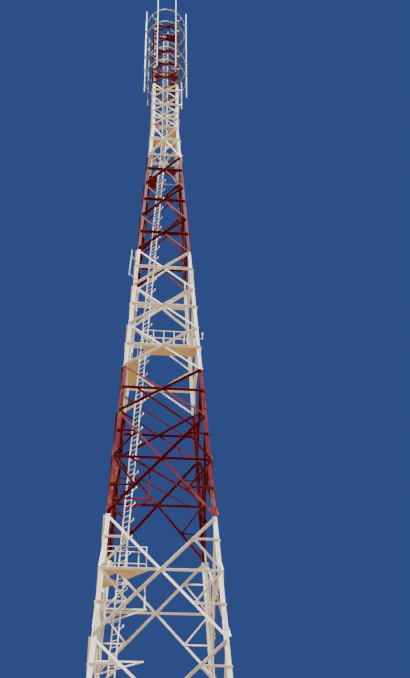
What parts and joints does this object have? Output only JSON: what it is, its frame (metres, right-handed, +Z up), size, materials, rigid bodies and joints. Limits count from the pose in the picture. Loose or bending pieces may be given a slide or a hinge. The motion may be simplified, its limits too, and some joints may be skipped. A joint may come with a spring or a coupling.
{
  "type": "four-legged lattice telecom tower, half-size scale model",
  "caption": "Half-size model of a tapering four-legged steel angle lattice radio tower with ladder, work platforms and ring mounts for antennas.",
  "frame": {"origin": "centre of the front left foot's base plate at its underside, which is ground level", "axes": "+Z up along the tower, +X along the front face to the right, -Y towards the picture's viewer"},
  "size_m": [3.69, 3.69, 31.05],
  "materials": {
    "banded_paint": "weathered paint in red and white bands by height, drawn red here",
    "ladder_paint": "weathered white paint",
    "deck_steel": "worn paint and dust on steel plate",
    "galvanised_steel": "dull zinc coating"
  },
  "bodies": {
    "root": {"leg_front_left": "banded_paint", "leg_front_right": "banded_paint", "leg_back_right": "banded_paint", "leg_back_left": "banded_paint", "leg_splices": "banded_paint", "base_plates": "banded_paint", "front_bracing_1": "banded_paint", "right_bracing_1": "banded_paint", "back_bracing_1": "banded_paint", "left_bracing_1": "banded_paint", "front_bracing_2": "banded_paint", "right_bracing_2": "banded_paint", "back_bracing_2": "banded_paint", "left_bracing_2": "banded_paint", "front_bracing_3": "banded_paint", "right_bracing_3": "banded_paint", "back_bracing_3": "banded_paint", "left_bracing_3": "banded_paint", "front_bracing_4": "banded_paint", "right_bracing_4": "banded_paint", "back_bracing_4": "banded_paint", "left_bracing_4": "banded_paint", "front_bracing_5": "banded_paint", "right_bracing_5": "banded_paint", "back_bracing_5": "banded_paint", "left_bracing_5": "banded_paint", "plan_bracing": "banded_paint", "ladder_stringers": "ladder_paint", "ladder_rungs": "ladder_paint", "ladder_hooks": "ladder_paint", "ladder_frames": "ladder_paint", "rest_platform": "deck_steel", "rest_railing": "banded_paint", "work_platform": "deck_steel", "work_railing": "banded_paint", "upper_platform": "deck_steel", "neck_decks": "deck_steel", "antenna_rings": "galvanised_steel", "ring_arms": "galvanised_steel", "antenna_pipes": "galvanised_steel", "side_mounts": "galvanised_steel", "lamp_bracket": "banded_paint", "cable_run": "galvanised_steel"}
  },
  "joints": []
}
